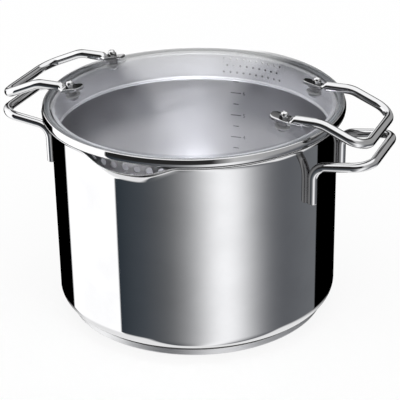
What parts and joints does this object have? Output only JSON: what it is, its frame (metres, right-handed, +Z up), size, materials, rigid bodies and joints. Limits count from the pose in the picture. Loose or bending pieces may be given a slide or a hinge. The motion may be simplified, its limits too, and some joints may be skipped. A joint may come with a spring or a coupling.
{
  "type": "pasta pot with straining lid",
  "caption": "Deep stainless pot with pouring spouts in its rim, bent rod handles, and a domed glass lid whose perforated collar hangs in the pot as a strainer.",
  "frame": {"origin": "on the floor under the pot's axis, at the middle of the base", "axes": "+Z up along the pot's axis, +X towards the right handles, the two spouts along -Y and +Y"},
  "size_m": [0.3394, 0.263, 0.205],
  "materials": {
    "stainless_steel": "mirror polished stainless steel outside, satin inside the pot",
    "aluminium_disc": "plain pressed aluminium, closed in under the floor",
    "lid_glass": "clear toughened glass with a ground, polished edge",
    "silicone": "dark grey satin silicone",
    "clear_silicone": "milky clear silicone, pressed thin between the glass and the ring"
  },
  "bodies": {
    "pot": {"pot_shell": "stainless_steel", "base_core": "aluminium_disc", "base_cap": "stainless_steel", "pot_handle_left": "stainless_steel", "pot_handle_right": "stainless_steel"},
    "lid": {"lid_ring": "stainless_steel", "strainer_collar": "stainless_steel", "lid_handle_left": "stainless_steel", "lid_handle_right": "stainless_steel", "steel_washer_left_front": "stainless_steel", "steel_washer_left_rear": "stainless_steel", "steel_washer_right_front": "stainless_steel", "steel_washer_right_rear": "stainless_steel", "screw_left_front": "stainless_steel", "screw_left_rear": "stainless_steel", "screw_right_front": "stainless_steel", "screw_right_rear": "stainless_steel", "cap_nut_left_front": "stainless_steel", "cap_nut_left_rear": "stainless_steel", "cap_nut_right_front": "stainless_steel", "cap_nut_right_rear": "stainless_steel", "glass_seal": "clear_silicone", "foot_pad_left_front": "silicone", "foot_pad_left_rear": "silicone", "foot_pad_right_front": "silicone", "foot_pad_right_rear": "silicone", "under_washer_left_front": "silicone", "under_washer_left_rear": "silicone", "under_washer_right_front": "silicone", "under_washer_right_rear": "silicone", "lid_glass": "lid_glass"}
  },
  "joints": [
    {"name": "lid_lift", "type": "slide", "parent": "pot", "child": "lid", "axis": [0, 0, 1], "range_m": [0, 0.2]}
  ]
}
